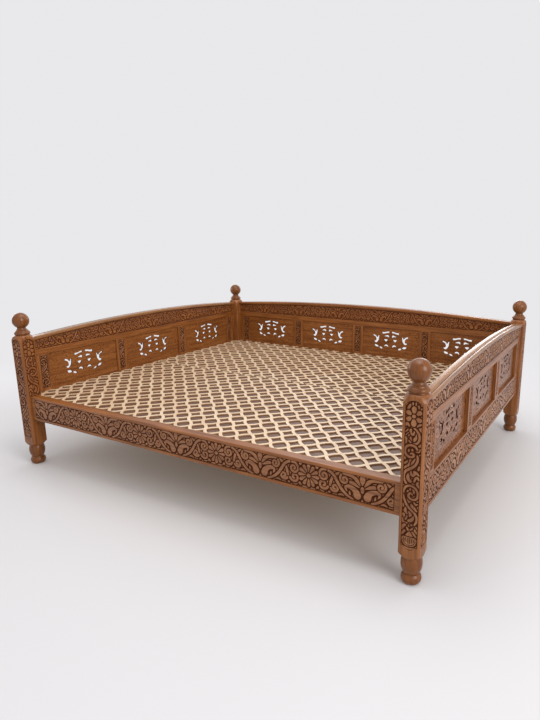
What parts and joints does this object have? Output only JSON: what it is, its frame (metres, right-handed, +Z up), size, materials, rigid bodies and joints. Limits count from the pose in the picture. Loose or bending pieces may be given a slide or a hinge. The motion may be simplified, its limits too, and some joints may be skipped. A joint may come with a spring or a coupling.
{
  "type": "persian takht platform seat",
  "caption": "Low, wide wooden platform seat with turned corner posts, carved rails, a lattice deck and an arched, pierced fence on three sides.",
  "frame": {"origin": "on the floor, in the middle of the footprint", "axes": "+X along the open front, to the sitter's left as they look out; +Y from the open front to the back fence; +Z up"},
  "size_m": [3, 2.5, 1.1056],
  "materials": {
    "stained_hardwood": "satin varnish",
    "pale_laths": "satin varnish",
    "plain_softwood": "planed, unpainted",
    "zinc_steel": "zinc plated"
  },
  "bodies": {
    "root": {"back_arched_rail": "stained_hardwood", "back_cap": "stained_hardwood", "back_joists": "plain_softwood", "back_ledger": "plain_softwood", "back_panel_1": "stained_hardwood", "back_panel_2": "stained_hardwood", "back_panel_3": "stained_hardwood", "back_panel_4": "stained_hardwood", "back_rail": "stained_hardwood", "back_stile_1": "stained_hardwood", "back_stile_2": "stained_hardwood", "back_stile_3": "stained_hardwood", "back_stile_4": "stained_hardwood", "back_stile_5": "stained_hardwood", "back_sub_rail": "stained_hardwood", "beam_back_ledger": "plain_softwood", "beam_front_ledger": "plain_softwood", "centre_beam": "plain_softwood", "corner_brace_back_left": "plain_softwood", "corner_brace_back_right": "plain_softwood", "corner_brace_front_left": "plain_softwood", "corner_brace_front_right": "plain_softwood", "deck_boards": "stained_hardwood", "deck_lower_laths_back": "pale_laths", "deck_lower_laths_front": "pale_laths", "deck_upper_laths_back": "pale_laths", "deck_upper_laths_front": "pale_laths", "finials": "stained_hardwood", "front_joists": "plain_softwood", "front_ledger": "plain_softwood", "front_rail": "stained_hardwood", "left_arched_rail": "stained_hardwood", "left_beam_shoe": "zinc_steel", "left_cap": "stained_hardwood", "left_panel_1": "stained_hardwood", "left_panel_2": "stained_hardwood", "left_panel_3": "stained_hardwood", "left_rail": "stained_hardwood", "left_stile_1": "stained_hardwood", "left_stile_2": "stained_hardwood", "left_stile_3": "stained_hardwood", "left_stile_4": "stained_hardwood", "left_sub_rail": "stained_hardwood", "post_back_left": "stained_hardwood", "post_back_right": "stained_hardwood", "post_front_left": "stained_hardwood", "post_front_right": "stained_hardwood", "right_arched_rail": "stained_hardwood", "right_beam_shoe": "zinc_steel", "right_cap": "stained_hardwood", "right_panel_1": "stained_hardwood", "right_panel_2": "stained_hardwood", "right_panel_3": "stained_hardwood", "right_rail": "stained_hardwood", "right_stile_1": "stained_hardwood", "right_stile_2": "stained_hardwood", "right_stile_3": "stained_hardwood", "right_stile_4": "stained_hardwood", "right_sub_rail": "stained_hardwood"}
  },
  "joints": []
}
